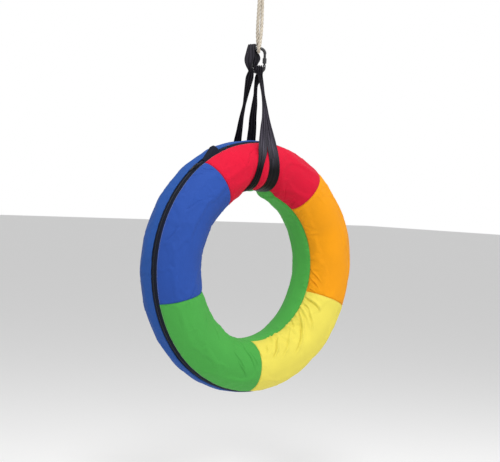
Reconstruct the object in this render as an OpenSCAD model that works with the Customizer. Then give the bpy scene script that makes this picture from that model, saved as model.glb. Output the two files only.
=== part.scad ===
// Hanging tire swing: a fabric-covered inner tube held upright by two webbing slings, a screw-lock
// carabiner, a rope loop and a ceiling hanger with a swivel.
// The origin is the middle of the ceiling plate's top face. +Z is up, the ring's front faces -Y.

/* [Ring] */
// Height of the ceiling face above the middle of the ring
ring_drop = 1200; // [1180:1:1400]
// Radius from the middle of the ring to the middle of the tube
ring_radius = 355; // [345:1:370]
// Radius of the round halves of the tube's section
tube_radius = 95; // [92:1:98]
// Flat run across the section, which makes the tube wider than it is thick
tube_flat = 28; // [24:1:32]
// Thickness of the fabric cover
cover_wall = 2; // [1.5:0.1:2.5]
// Wall of the rubber inner tube
rubber_wall = 4; // [3:0.5:6]
// Number of colour panels on each side
panel_count = 5; // [5]
// Angle of the first seam, between red and orange, from the ring's right
first_seam = 53; // [48:1:58]

/* [Zip] */
// Middle of the zip on the section, in degrees forward of the outermost line
zip_angle = 8.5; // [8.2:0.1:9]
// Width of the closed chain of teeth, in degrees on the section
zip_chain = 3; // [2.6:0.1:3.2]
// Width of each fabric tape, in degrees on the section
zip_tape = 6.4; // [5.8:0.1:6.4]
// Place of the parked slider, in degrees round the ring
slider_place = 129; // [129:1:133]

/* [Slings] */
// Width of the flat webbing
webbing_width = 50; // [46:1:52]
// Thickness of the webbing
webbing_thick = 2; // [1.6:0.1:2.2]
// Width of the webbing where it is bunched over the carabiner
bunched_width = 9; // [7:0.5:9.5]

/* [Carabiner] */
// Diameter of the forged rod
rod_d = 11; // [10:0.5:11]
// Distance between the middles of the top and bottom bows
carabiner_height = 84; // [82:1:90]
// Distance between the middles of the spine and the gate
carabiner_width = 46; // [46:1:52]
// Turn of the carabiner away from the plane of the ring
carabiner_turn = -40; // [-45:1:-35]

/* [Rope] */
// Diameter of the rope
rope_d = 13; // [12:0.5:13]

/* [Ceiling hanger] */
// Length of the ceiling plate, along X
plate_length = 110; // [100:1:140]
// Width of the ceiling plate, along Y
plate_width = 70; // [66:1:90]
// Distance between the bolt holes along X
bolt_spacing_x = 80; // [76:1:84]
// Distance between the bolt holes along Y
bolt_spacing_y = 44; // [40:1:46]
// Diameter of the bolt holes
bolt_hole_d = 9; // [6:0.5:10]

/* [Hidden] */
$fn = 64;
eps = 0.01;

panel_colors = ["#e51d3f", "#4a6fc0", "#4bb14b", "#eee05c", "#f7a11a"];
band_blue = "#3f62b5";
band_green = "#3f9a46";
black_metal = "#1c1c1e";
black_fabric = "#17171a";
steel = "#b9bcc0";
bronze = "#b08d57";
rope_tan = "#cfc4ae";
rubber_black = "#2a2a2c";

// Ring sections
half_flat = tube_flat / 2;
far = 200;
panel_angle = 360 / panel_count;
zip_start = zip_angle - zip_chain / 2 - zip_tape;
zip_end = zip_angle + zip_chain / 2 + zip_tape;
inner_seam = 164;
back_outer_seam = 42;
back_inner_seam = 138;
teeth_height = 1.5;

// Ceiling hanger
plate_thick = 6;
plate_corner = 8;
cheek_gap = 34;
cheek_thick = 6;
cheek_half = 17;
pivot_z = -32;
bolt_d = 12;
hex_across = 19;
hex_r = hex_across / 2 / cos(30);
washer_thick = 2.5;
washer_r = 12;
running_gap = 0.05;
bush_r = 9;
bush_half = cheek_gap / 2 - 0.5;
lug_r = 15;
housing_r = 20;
housing_bore_r = 15;
head_flange_z = -50;
housing_top = -56;
housing_floor = -86;
housing_bottom = -92;
shank_r = 8;
ball_r = 3;
ball_count = 10;
ball_circle_r = 11.3;
bearing_wall = 2.5;
eye_rod_r = 5;
eye_ring_r = 17;
eye_z = -121;
eye_low_z = eye_z - eye_ring_r;
eye_seat_length = 6;

// Thimble and rope
rope_r = rope_d / 2;
fit_gap = 0.3;
thimble_hole_r = 12;
thimble_half = 8.5;
thimble_rim_r = 18.5;
rope_turn_r = 20.3;
thimble_z = eye_low_z - (thimble_hole_r - eye_rod_r) + fit_gap;
top_bow_z = -417;
rod_r = rod_d / 2;
rope_bow_r = rod_r + fit_gap + rope_r;
legs_half = rope_r + 0.4;
seizing_top = -200;
seizing_length = 16;
seizing_wall = 2;
leg_top_z = thimble_z;
leg_low_z = top_bow_z;
rope_twist = 130;
rope_join_z = -208;

// Carabiner, in its own frame: x from spine to gate, z up, middle at car_z
car_z = top_bow_z - carabiner_height / 2;
car_half = carabiner_height / 2;
side = carabiner_width / 2;
bend_r = 18;
stub_z = car_half - bend_r;
gate_r = 4.5;
nose_z = 16;
gate_top = nose_z - 0.4;
gate_low = -12.5;
fork_top = -15;
gate_pin_z = -20;
gate_pin_r = 1.5;
tongue_half = 2;
sleeve_r = 7.2;
sleeve_gap = 0.1;
sleeve_low = -10;
sleeve_length = 18;

// Slings: [angle round the ring at the front, at the back, place on the carabiner's bottom bow,
// how far the course bulges between them]
left_sling = [98.2, 90, -5.5, 9];
right_sling = [88.9, 79.5, 5.5, 1];
sling_r = tube_radius + 3.2;
bight_r = rod_r + 1.3 + webbing_thick / 2;
wrap_from = -16;
wrap_to = 196;
wrap_steps = 22;
bight_steps = 8;
leg_steps = 6;
ring_z = -ring_drop;
bottom_bow_z = car_z - car_half;

// ---------- helpers ----------

// Puts the ring's plane upright: x to the right, y up, z towards the front
module at_ring() {
    translate([0, 0, ring_z])
        rotate([90, 0, 0])
            children();
}

// A place on the tube: x outwards from the section, y along the ring, z across it
module on_tube(u, theta) {
    at_ring()
        rotate([0, 0, u])
            translate([ring_radius, 0, half_flat])
                rotate([0, -theta, 0])
                    children();
}

module at_carabiner() {
    translate([0, 0, car_z])
        rotate([0, 0, carabiner_turn])
            children();
}

// The tube's section, as two round ends and the flat run between them
module section(r) {
    translate([ring_radius, half_flat])
        circle(r = r);
    translate([ring_radius, -half_flat])
        circle(r = r);
    translate([ring_radius - r, -half_flat])
        square([2 * r, tube_flat]);
}

module cover_section() {
    difference() {
        section(tube_radius);
        section(tube_radius - cover_wall);
    }
}

// A slice of the front round, between two angles from the outermost line
module wedge(from, to) {
    steps = ceil((to - from) / 40);
    translate([ring_radius, half_flat])
        polygon(concat(
            [[0, 0]],
            [for (i = [0:steps]) let (a = from + (to - from) * i / steps) far * [cos(a), sin(a)]]
        ));
}

module cover_slice(from, to) {
    intersection() {
        cover_section();
        wedge(from, to);
    }
}

// A band that crosses the section's outer or inner side between a front and a back seam
module band_slice(dir, front_angle, back_angle) {
    intersection() {
        cover_section();
        polygon([
            [ring_radius, half_flat],
            [ring_radius + dir * far, half_flat + far * tan(front_angle)],
            [ring_radius + dir * far, -half_flat - far * tan(back_angle)],
            [ring_radius, -half_flat]
        ]);
    }
}

// A tube swept along points: each ring of points lies across the path
function unit(v) = v / norm(v);
function along(p, i) = unit(p[min(i + 1, len(p) - 1)] - p[max(i - 1, 0)]);
function across(t) = unit(cross(t, abs(t[1]) < 0.9 ? [0, 1, 0] : [1, 0, 0]));

module swept_tube(path, r, sides) {
    n = len(path);
    points = [
        for (i = [0:n - 1])
            let (t = along(path, i), a = across(t), b = cross(t, a))
                for (k = [0:sides - 1])
                    path[i] + r * (a * cos(360 * k / sides) + b * sin(360 * k / sides))
    ];
    walls = [
        for (i = [0:n - 2])
            for (k = [0:sides - 1])
                let (a = i * sides + k, b = i * sides + (k + 1) % sides)
                    [a, a + sides, b + sides, b]
    ];
    start_cap = [for (k = [0:sides - 1]) k];
    end_cap = [for (k = [sides - 1:-1:0]) (n - 1) * sides + k];
    polyhedron(points = points, faces = concat(walls, [start_cap, end_cap]), convexity = 6);
}

// A closed loop of flat webbing through stations [middle, width direction, half width]
module webbing_loop(stations) {
    n = len(stations);
    points = [
        for (i = [0:n - 1])
            let (
                c = stations[i][0],
                t = unit(stations[(i + 1) % n][0] - stations[(i + n - 1) % n][0]),
                w = unit(stations[i][1] - t * (stations[i][1] * t)),
                out = cross(t, w),
                h = stations[i][2],
                d = webbing_thick / 2
            )
                each [c - w * h - out * d, c + w * h - out * d, c + w * h + out * d, c - w * h + out * d]
    ];
    faces = [
        for (i = [0:n - 1])
            for (k = [0:3])
                let (
                    a = i * 4 + k,
                    b = i * 4 + (k + 1) % 4,
                    a2 = ((i + 1) % n) * 4 + k,
                    b2 = ((i + 1) % n) * 4 + (k + 1) % 4
                )
                    each [[a, b2, b], [a, a2, b2]]
    ];
    polyhedron(points = points, faces = faces, convexity = 6);
}

// ---------- ceiling hanger ----------

module ceiling_plate() {
    cx = plate_length / 2 - plate_corner;
    cy = plate_width / 2 - plate_corner;
    color(black_metal)
        translate([0, 0, -plate_thick])
            difference() {
                union() {
                    for (sx = [-1, 1])
                        for (sy = [-1, 1])
                            translate([sx * cx, sy * cy, 0])
                                cylinder(r = plate_corner, h = plate_thick);
                    translate([-plate_length / 2, -cy, 0])
                        cube([plate_length, 2 * cy, plate_thick]);
                    translate([-cx, -plate_width / 2, 0])
                        cube([2 * cx, plate_width, plate_thick]);
                }
                for (sx = [-1, 1])
                    for (sy = [-1, 1])
                        translate([sx * bolt_spacing_x / 2, sy * bolt_spacing_y / 2, -1])
                            cylinder(d = bolt_hole_d, h = plate_thick + 2);
            }
}

module hanger_cheek(dir) {
    color(black_metal)
        translate([dir > 0 ? cheek_gap / 2 : -cheek_gap / 2 - cheek_thick, 0, 0])
            difference() {
                union() {
                    translate([0, -cheek_half, pivot_z])
                        cube([cheek_thick, 2 * cheek_half, -pivot_z - plate_thick]);
                    translate([0, 0, pivot_z])
                        rotate([0, 90, 0])
                            cylinder(r = cheek_half, h = cheek_thick);
                }
                translate([-1, 0, pivot_z])
                    rotate([0, 90, 0])
                        cylinder(d = bolt_d + 2 * running_gap, h = cheek_thick + 2);
            }
}

module along_pivot(from) {
    translate([from, 0, pivot_z])
        rotate([0, 90, 0])
            children();
}

module pivot_bolt() {
    outside = cheek_gap / 2 + cheek_thick + washer_thick;
    color(steel) {
        along_pivot(-outside - 7.5)
            cylinder(r = hex_r, h = 7.5, $fn = 6);
        along_pivot(-outside)
            cylinder(d = bolt_d, h = 2 * outside + 13);
    }
}

module pivot_nut() {
    outside = cheek_gap / 2 + cheek_thick + washer_thick;
    color(steel)
        difference() {
            union() {
                along_pivot(outside)
                    cylinder(r = hex_r, h = 8, $fn = 6);
                along_pivot(outside + 8)
                    cylinder(r = 8.5, h = 3);
            }
            along_pivot(outside - 1)
                cylinder(d = bolt_d, h = 13);
        }
}

module pivot_washers() {
    color(steel)
        for (x = [cheek_gap / 2 + cheek_thick, -cheek_gap / 2 - cheek_thick - washer_thick])
            difference() {
                along_pivot(x)
                    cylinder(r = washer_r, h = washer_thick);
                along_pivot(x - 1)
                    cylinder(d = bolt_d + 2 * running_gap, h = washer_thick + 2);
            }
}

module pivot_bush() {
    color(bronze)
        difference() {
            along_pivot(-bush_half)
                cylinder(r = bush_r, h = 2 * bush_half);
            along_pivot(-bush_half - 1)
                cylinder(d = bolt_d + 2 * running_gap, h = 2 * bush_half + 2);
        }
}

// The swivel's upper half: a lug on the pivot bolt, a flange and a spigot that screws into the housing
module swivel_head() {
    lug_half = bush_half - 0.5;
    color(steel)
        difference() {
            union() {
                along_pivot(-lug_half)
                    cylinder(r = lug_r, h = 2 * lug_half);
                translate([-lug_half, -10, head_flange_z])
                    cube([2 * lug_half, 20, pivot_z - head_flange_z]);
                translate([0, 0, housing_top])
                    cylinder(r = housing_r, h = head_flange_z - housing_top);
                translate([0, 0, housing_top - 6])
                    cylinder(r = housing_bore_r, h = 6 + eps);
            }
            along_pivot(-lug_half - 1)
                cylinder(r = bush_r, h = 2 * lug_half + 2);
        }
}

module swivel_housing() {
    color(steel)
        difference() {
            translate([0, 0, housing_bottom])
                cylinder(r = housing_r, h = housing_top - housing_bottom);
            translate([0, 0, housing_floor])
                cylinder(r = housing_bore_r, h = housing_top - housing_floor + 1);
            translate([0, 0, housing_bottom - 1])
                cylinder(r = shank_r + running_gap, h = housing_floor - housing_bottom + 2);
        }
}

module bearing_washer(low_z) {
    color(steel)
        translate([0, 0, low_z])
            difference() {
                cylinder(r = housing_bore_r - 0.5, h = bearing_wall);
                translate([0, 0, -1])
                    cylinder(r = shank_r + running_gap, h = bearing_wall + 2);
            }
}

module bearing_balls() {
    color(steel)
        for (i = [0:ball_count - 1])
            rotate([0, 0, 360 * i / ball_count])
                translate([ball_circle_r, 0, housing_floor + bearing_wall + ball_r + 0.02])
                    sphere(r = ball_r);
}

module swivel_eye() {
    head_z = housing_floor + 2 * bearing_wall + 2 * ball_r + 0.04;
    color(steel) {
        translate([0, 0, head_z])
            cylinder(r = housing_bore_r - 1.5, h = 5);
        translate([0, 0, eye_z + eye_ring_r])
            cylinder(r = shank_r, h = head_z - eye_z - eye_ring_r + eps);
        translate([0, 0, eye_z])
            rotate([0, 90, 0])
                rotate_extrude()
                    translate([eye_ring_r, 0])
                        circle(r = eye_rod_r);
        translate([0, eye_seat_length / 2, eye_low_z])
            rotate([90, 0, 0])
                cylinder(r = eye_rod_r + 0.1, h = eye_seat_length);
    }
}

// ---------- rope ----------

// The thimble's bore flares to follow the eye's curved rod
module rope_thimble() {
    bore_curve = eye_ring_r - eye_rod_r;
    bore = [for (i = [-8:8])
        let (y = thimble_half * i / 8)
            [thimble_hole_r + bore_curve - sqrt(bore_curve * bore_curve - y * y), y]];
    color(steel)
        translate([0, 0, thimble_z])
            rotate([90, 0, 0])
                rotate_extrude()
                    difference() {
                        polygon(concat(bore, [[thimble_rim_r, thimble_half], [thimble_rim_r, -thimble_half]]));
                        translate([rope_turn_r, 0])
                            circle(r = rope_r + fit_gap);
                    }
}

// Half the distance between the rope's two legs at height z: they spread round the thimble and the bow
function ramp(x) = let (c = min(1, max(0, x))) c * c * (3 - 2 * c);
function leg_half(z) = legs_half
    + (rope_turn_r - legs_half) * ramp((z - leg_top_z + 55) / 55)
    + (rope_bow_r - legs_half) * ramp((leg_low_z + 34 - z) / 34);

// The pair of legs turns as it rises: edge-on at the carabiner, in the ring's plane at the thimble
function leg_turn(z) = 360 - rope_twist * pow(1 - (z - leg_low_z) / (leg_top_z - leg_low_z), 3.2);
function leg_point(z, a) = [leg_half(z) * cos(leg_turn(z) + a), leg_half(z) * sin(leg_turn(z) + a), z];

// Round the thimble, down the first leg, under the carabiner's bow and up the second leg
leg_z = [-152, -162, -172, -182, -192, -202, -222, -242, -262, -282, -302, -318, -332, -345,
         -356, -366, -376, -386, -396, -407];
rope_path = concat(
    [for (z = [rope_join_z + 0.4, -202, -192, -182, -172, -162, -152]) leg_point(z, 180)],
    [for (a = [180:-20:0]) [rope_turn_r * cos(a), 0, thimble_z + rope_turn_r * sin(a)]],
    [for (z = leg_z) leg_point(z, 0)],
    [for (b = [0:20:180])
        [
            rope_bow_r * cos(b) * cos(360 - rope_twist),
            rope_bow_r * cos(b) * sin(360 - rope_twist),
            top_bow_z - rope_bow_r * sin(b)
        ]],
    [for (i = [len(leg_z) - 1:-1:6]) leg_point(leg_z[i], 180)],
    [leg_point(rope_join_z - 0.4, 180)]
);

module rope() {
    color(rope_tan)
        swept_tube(rope_path, rope_r, 10);
}

// Twine wound round both legs, where the rope's two ends meet
module rope_seizing() {
    module around(r) {
        for (s = [-1, 1])
            translate([s * legs_half, 0])
                circle(r = r);
        translate([-legs_half, -r])
            square([2 * legs_half, 2 * r]);
    }
    color(rope_tan)
        translate([0, 0, seizing_top - seizing_length])
            linear_extrude(height = seizing_length)
                difference() {
                    around(rope_r + 0.6 + seizing_wall);
                    around(rope_r + 0.6);
                }
}

// ---------- carabiner ----------

module bend(x, z, start) {
    translate([x, 0, z])
        rotate([90, 0, 0])
            rotate([0, 0, start])
                rotate_extrude(angle = 90)
                    translate([bend_r, 0])
                        circle(r = rod_r);
}

module rod_z(x, from, to, r) {
    translate([x, 0, from])
        cylinder(r = r, h = to - from);
}

module rod_x(z) {
    translate([-side + bend_r, 0, z])
        rotate([0, 90, 0])
            cylinder(r = rod_r, h = carabiner_width - 2 * bend_r);
}

module carabiner_body() {
    color(black_metal)
        at_carabiner()
            difference() {
                union() {
                    bend(-side + bend_r, stub_z, 90);
                    bend(-side + bend_r, -stub_z, 180);
                    bend(side - bend_r, -stub_z, 270);
                    bend(side - bend_r, stub_z, 0);
                    rod_x(car_half);
                    rod_x(-car_half);
                    rod_z(-side, -stub_z, stub_z, rod_r);
                    rod_z(side, -stub_z, fork_top, rod_r);
                    rod_z(side, nose_z, stub_z, gate_r);
                }
                translate([side - bend_r + 2, -tongue_half - 0.2, -stub_z - 2])
                    cube([bend_r + rod_r, 2 * tongue_half + 0.4, fork_top + stub_z + 3]);
                translate([side, rod_r + 1, gate_pin_z])
                    rotate([90, 0, 0])
                        cylinder(r = gate_pin_r, h = 2 * rod_r + 2);
            }
}

module carabiner_gate() {
    color(black_metal)
        at_carabiner()
            difference() {
                union() {
                    rod_z(side, gate_low, gate_top, gate_r);
                    translate([side - 3, -tongue_half, gate_pin_z])
                        cube([6, 2 * tongue_half, gate_low - gate_pin_z + eps]);
                    translate([side, tongue_half, gate_pin_z])
                        rotate([90, 0, 0])
                            cylinder(r = 3, h = 2 * tongue_half);
                }
                translate([side, tongue_half + 1, gate_pin_z])
                    rotate([90, 0, 0])
                        cylinder(r = gate_pin_r + running_gap, h = 2 * tongue_half + 2);
                rod_z(side, -8, 6, 2.2);
            }
}

module gate_pin() {
    color(steel)
        at_carabiner()
            translate([side, rod_r - 0.4, gate_pin_z])
                rotate([90, 0, 0])
                    cylinder(r = gate_pin_r, h = 2 * rod_r - 0.8);
}

// The coil that shuts the gate, inside the gate's bore, as its turns
module gate_spring() {
    color(steel)
        at_carabiner()
            for (z = [-7:1.5:5])
                translate([side, 0, z])
                    rotate_extrude()
                        translate([1.6, 0])
                            circle(r = 0.35);
}

module lock_sleeve() {
    color(black_metal)
        at_carabiner()
            translate([side, 0, sleeve_low])
                difference() {
                    cylinder(r = sleeve_r, h = sleeve_length);
                    translate([0, 0, -1])
                        cylinder(r = gate_r + sleeve_gap, h = sleeve_length + 2);
                    for (i = [0:11])
                        rotate([0, 0, 30 * i])
                            translate([sleeve_r + 0.5, 0, 2])
                                cylinder(r = 1, h = sleeve_length - 4);
                }
}

// ---------- slings ----------

function out_dir(u) = [cos(u), 0, sin(u)];
function ring_dir(u) = [-sin(u), 0, cos(u)];
function wrap_point(u, a) = [0, 0, ring_z] + out_dir(u) * (ring_radius - sling_r * sin(a))
    + [0, -1, 0] * ((a <= 90 ? half_flat : -half_flat) + sling_r * cos(a));
function wrap_u(s, a) = let (t = (a - wrap_from) / (wrap_to - wrap_from))
    s[0] + (s[1] - s[0]) * t + s[3] * sin(180 * t);
// The webbing lies flat on the tube, across its own course
function wrap_lean(s, a) = atan((wrap_u(s, a + 1) - wrap_u(s, a - 1)) / 2
    * (ring_radius - sling_r * sin(a)) / sling_r);
function wrap_width(s, a) = let (lean = wrap_lean(s, a), u = wrap_u(s, a))
    -ring_dir(u) * cos(lean) + (out_dir(u) * -cos(a) + [0, -1, 0] * -sin(a)) * sin(lean);
function mix(a, b, t) = a * (1 - t) + b * t;
bow_dir = [cos(carabiner_turn), sin(carabiner_turn), 0];
bow_front = [sin(carabiner_turn), -cos(carabiner_turn), 0];
function bight_point(s, a) = [0, 0, bottom_bow_z] + bow_dir * s[2] + bow_front * bight_r * cos(a)
    + [0, 0, 1] * bight_r * sin(a);

// Over the bow, down the back leg, round the tube's inner side and up the front leg
function sling_stations(s) = concat(
    [for (i = [0:bight_steps])
        let (a = 180 * i / bight_steps) [bight_point(s, a), bow_dir, bunched_width / 2]],
    [for (i = [1:leg_steps])
        let (t = i / (leg_steps + 1))
            [
                mix(bight_point(s, 180), wrap_point(s[1], wrap_to), t),
                mix(bow_dir, wrap_width(s, wrap_to), t),
                mix(bunched_width, webbing_width, t) / 2
            ]],
    [for (i = [wrap_steps:-1:0])
        let (a = wrap_from + (wrap_to - wrap_from) * i / wrap_steps)
            [wrap_point(wrap_u(s, a), a), wrap_width(s, a), webbing_width / 2]],
    [for (i = [leg_steps:-1:1])
        let (t = i / (leg_steps + 1))
            [
                mix(bight_point(s, 0), wrap_point(s[0], wrap_from), t),
                mix(bow_dir, wrap_width(s, wrap_from), t),
                mix(bunched_width, webbing_width, t) / 2
            ]]
);

module sling(s) {
    color(black_fabric)
        webbing_loop(sling_stations(s));
}

// ---------- ring ----------

module front_panel(i) {
    color(panel_colors[i])
        at_ring()
            rotate([0, 0, first_seam + panel_angle * i])
                rotate_extrude(angle = panel_angle)
                    cover_slice(zip_end, inner_seam);
}

module back_panel(i) {
    color(panel_colors[i])
        at_ring()
            rotate([0, 0, first_seam + panel_angle * i])
                rotate_extrude(angle = panel_angle)
                    mirror([0, 1])
                        cover_slice(back_outer_seam, back_inner_seam);
}

module ring_of() {
    at_ring()
        rotate_extrude()
            children();
}

module outer_band() {
    color(band_blue)
        ring_of()
            band_slice(1, zip_start, back_outer_seam);
}

module inner_band() {
    color(band_green)
        ring_of()
            band_slice(-1, 180 - inner_seam, 180 - back_inner_seam);
}

module inner_tube() {
    color(rubber_black)
        difference() {
            ring_of()
                difference() {
                    section(tube_radius - cover_wall - 0.5);
                    section(tube_radius - cover_wall - 0.5 - rubber_wall);
                }
            valve_cylinder(8, valve_bottom - 1, valve_top + 2);
        }
}

valve_place = 250;
valve_angle = 24;
valve_bottom = tube_radius - cover_wall - rubber_wall - 9;
valve_top = tube_radius - cover_wall - 1.2;

module valve_cylinder(r, from, to) {
    on_tube(valve_place, valve_angle)
        translate([from, 0, 0])
            rotate([0, 90, 0])
                cylinder(r = r, h = to - from);
}

module valve_body() {
    color(black_metal)
        difference() {
            valve_cylinder(8, valve_bottom, valve_top);
            valve_cylinder(4, valve_bottom - 1, valve_top + 1);
        }
}

module valve_plug() {
    color(steel)
        valve_cylinder(4, valve_top - 8, valve_top);
}

module zip_tape_ring(from) {
    color(black_fabric)
        ring_of()
            cover_slice(from, from + zip_tape);
}

module zip_teeth_ring(from) {
    color(black_metal)
        ring_of()
            intersection() {
                wedge(from, from + zip_chain / 2);
                difference() {
                    translate([ring_radius, half_flat])
                        circle(r = tube_radius + teeth_height);
                    translate([ring_radius, half_flat])
                        circle(r = tube_radius - cover_wall);
                }
            }
}

// A sewn pocket that covers the start of the zip
garage_from = 116;
garage_angle = 9.5;
garage_height = 7;

module raised_slice(u, angle, from, to, low, high) {
    at_ring()
        rotate([0, 0, u])
            rotate_extrude(angle = angle)
                intersection() {
                    wedge(from, to);
                    difference() {
                        translate([ring_radius, half_flat])
                            circle(r = tube_radius + high);
                        translate([ring_radius, half_flat])
                            circle(r = tube_radius + low);
                    }
                }
}

module zip_garage() {
    chain_from = zip_angle - zip_chain / 2 - 0.4;
    chain_to = zip_angle + zip_chain / 2 + 0.4;
    color(black_fabric) {
        at_ring()
            rotate([0, 0, garage_from])
                rotate_extrude(angle = garage_angle)
                    translate([ring_radius + tube_radius, 0])
                        square([garage_height - 0.5, half_flat + 1]);
        raised_slice(garage_from, garage_angle, 0.5, chain_from, 0, garage_height);
        raised_slice(garage_from, garage_angle, chain_to, 16.5, 0, garage_height);
        raised_slice(garage_from, garage_angle, chain_from, chain_to, teeth_height + 0.3, garage_height);
    }
}

module zip_stop() {
    chain_from = zip_angle - zip_chain / 2 - 0.4;
    chain_to = zip_angle + zip_chain / 2 + 0.4;
    color(black_metal) {
        raised_slice(108, 1, chain_from - 0.8, chain_from, 0, 3);
        raised_slice(108, 1, chain_to, chain_to + 0.8, 0, 3);
        raised_slice(108, 1, chain_from, chain_to, teeth_height + 0.05, 3);
    }
}

slider_length = 24;
slider_half = 6;
slider_low = tube_radius + 0.3;
slider_top = tube_radius + 4.5;
channel_half = 3.2;
crown_top = tube_radius + 8.5;
pull_pivot = tube_radius + 5.9;
pull_pin_r = 0.9;

module zip_slider() {
    color(black_metal)
        on_tube(slider_place, zip_angle)
            difference() {
                union() {
                    translate([slider_low, -slider_length / 2 + slider_half, -slider_half])
                        cube([slider_top - slider_low, slider_length - slider_half, 2 * slider_half]);
                    translate([slider_low, -slider_length / 2 + slider_half, 0])
                        rotate([0, 90, 0])
                            cylinder(r = slider_half, h = slider_top - slider_low);
                    for (y = [-7, 3.5])
                        translate([slider_top - eps, y, -2])
                            cube([crown_top - slider_top, 3.5, 4]);
                    translate([crown_top - 1.4, -7, -2])
                        cube([1.4, 14, 4]);
                }
                translate([slider_low - 1, -slider_length, -channel_half])
                    cube([teeth_height + 1.4, 2 * slider_length, 2 * channel_half]);
            }
}

// The tab's end is a small bow that hangs on the slider's crown
module zip_pull() {
    color(black_metal)
        on_tube(slider_place, zip_angle)
            difference() {
                union() {
                    translate([pull_pivot - 1, 9, -3.5])
                        cube([2, 21, 7]);
                    translate([pull_pivot, 0, -4.8])
                        cylinder(r = pull_pin_r, h = 9.6);
                    for (s = [-1, 1])
                        translate([pull_pivot - 0.9, -0.9, s > 0 ? 3 : -4.8])
                            cube([1.8, 11, 1.8]);
                    translate([pull_pivot - 0.9, 8.2, -4.8])
                        cube([1.8, 1.9, 9.6]);
                }
                translate([pull_pivot - 2, 25, 0])
                    rotate([0, 90, 0])
                        cylinder(r = 1.6, h = 4);
            }
}

// ---------- nodes ----------

ceiling_plate();
hanger_cheek(-1);  // hanger_cheek_left
hanger_cheek(1);  // hanger_cheek_right
pivot_bolt();
pivot_nut();
pivot_washers();
pivot_bush();
swivel_head();
swivel_housing();
bearing_washer(housing_floor);  // bearing_washer_lower
bearing_balls();
bearing_washer(housing_floor + bearing_wall + 2 * ball_r + 0.04);  // bearing_washer_upper
swivel_eye();
rope_thimble();
rope();
rope_seizing();
carabiner_body();
carabiner_gate();
gate_pin();
gate_spring();
lock_sleeve();
sling(left_sling);  // sling_left
sling(right_sling);  // sling_right
inner_tube();
valve_body();
valve_plug();
front_panel(0);  // front_panel_red
front_panel(1);  // front_panel_blue
front_panel(2);  // front_panel_green
front_panel(3);  // front_panel_yellow
front_panel(4);  // front_panel_orange
back_panel(0);  // back_panel_red
back_panel(1);  // back_panel_blue
back_panel(2);  // back_panel_green
back_panel(3);  // back_panel_yellow
back_panel(4);  // back_panel_orange
outer_band();
inner_band();
zip_tape_ring(zip_start);  // zip_tape_outer
zip_tape_ring(zip_end - zip_tape);  // zip_tape_inner
zip_teeth_ring(zip_angle - zip_chain / 2);  // zip_teeth_outer
zip_teeth_ring(zip_angle);  // zip_teeth_inner
zip_stop();
zip_garage();
zip_slider();
zip_pull();
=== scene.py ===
import bpy
import math
import numpy as np
from mathutils import Matrix, Vector


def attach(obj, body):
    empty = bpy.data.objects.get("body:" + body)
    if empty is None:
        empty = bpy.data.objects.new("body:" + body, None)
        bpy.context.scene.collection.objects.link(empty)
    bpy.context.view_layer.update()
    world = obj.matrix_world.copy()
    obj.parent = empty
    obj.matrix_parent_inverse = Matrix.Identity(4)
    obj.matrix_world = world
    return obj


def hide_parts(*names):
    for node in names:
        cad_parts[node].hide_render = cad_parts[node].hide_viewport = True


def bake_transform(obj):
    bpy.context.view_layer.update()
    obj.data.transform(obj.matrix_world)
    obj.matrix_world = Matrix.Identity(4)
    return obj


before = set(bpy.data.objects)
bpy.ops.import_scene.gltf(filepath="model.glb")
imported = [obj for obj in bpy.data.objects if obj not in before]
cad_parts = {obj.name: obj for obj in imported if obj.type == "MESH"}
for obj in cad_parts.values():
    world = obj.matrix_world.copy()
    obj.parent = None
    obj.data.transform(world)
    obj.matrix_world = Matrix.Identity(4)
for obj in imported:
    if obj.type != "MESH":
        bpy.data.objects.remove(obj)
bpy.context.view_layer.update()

# The swing's own sizes, in metres, as in the part
RING_Z = -1.2  # height of the ring's middle
RING_R = 0.355  # middle of the ring to the middle of the tube
TUBE_R = 0.095  # round part of the tube's section
HALF_FLAT = 0.014  # half the flat run across the section
PERIMETER = math.tau * TUBE_R + 4 * HALF_FLAT
FIRST_SEAM = math.radians(53)
PANEL_ANGLE = math.radians(72)
COLOURS = ["red", "blue", "green", "yellow", "orange"]
TURN = math.radians(-40)  # the carabiner's turn away from the ring's plane
BOW = Vector((math.cos(TURN), math.sin(TURN), 0))
FACE = Vector((math.sin(TURN), -math.cos(TURN), 0))  # out of the carabiner's front

SEED = 7
rng = np.random.default_rng(SEED)


def full_turn(n):
    """Angles for n places evenly round a circle."""
    return np.linspace(0, math.tau, n, endpoint=False)


def grid_of(a, b):
    return np.meshgrid(a, b, indexing="ij")


# ---------- camera, light and stage ----------

def add_object(name, data):
    o = bpy.data.objects.new(name, data)
    bpy.context.scene.collection.objects.link(o)
    return o


CAMERA_TURN, CAMERA_HEIGHT, CAMERA_LEAN = (math.radians(a) for a in (40.44, 2.745, -2.7))
CAMERA_DISTANCE = 5.777  # from the ring's middle
CAMERA_LENS, SENSOR = 115.4, 36  # millimetres
CAMERA_SHIFT = (0.0032, 0.0714)
WORLD_LIGHT = 0.64  # the world's light on the object; the camera sees it plain white
KEY_LIGHT = 98  # watts
FILL_LIGHT = 30
TOP_LIGHT = 42
FLOOR_HALF, FLOOR_Z = 40, -2.1
FLOOR_GREY = 0.92


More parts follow.
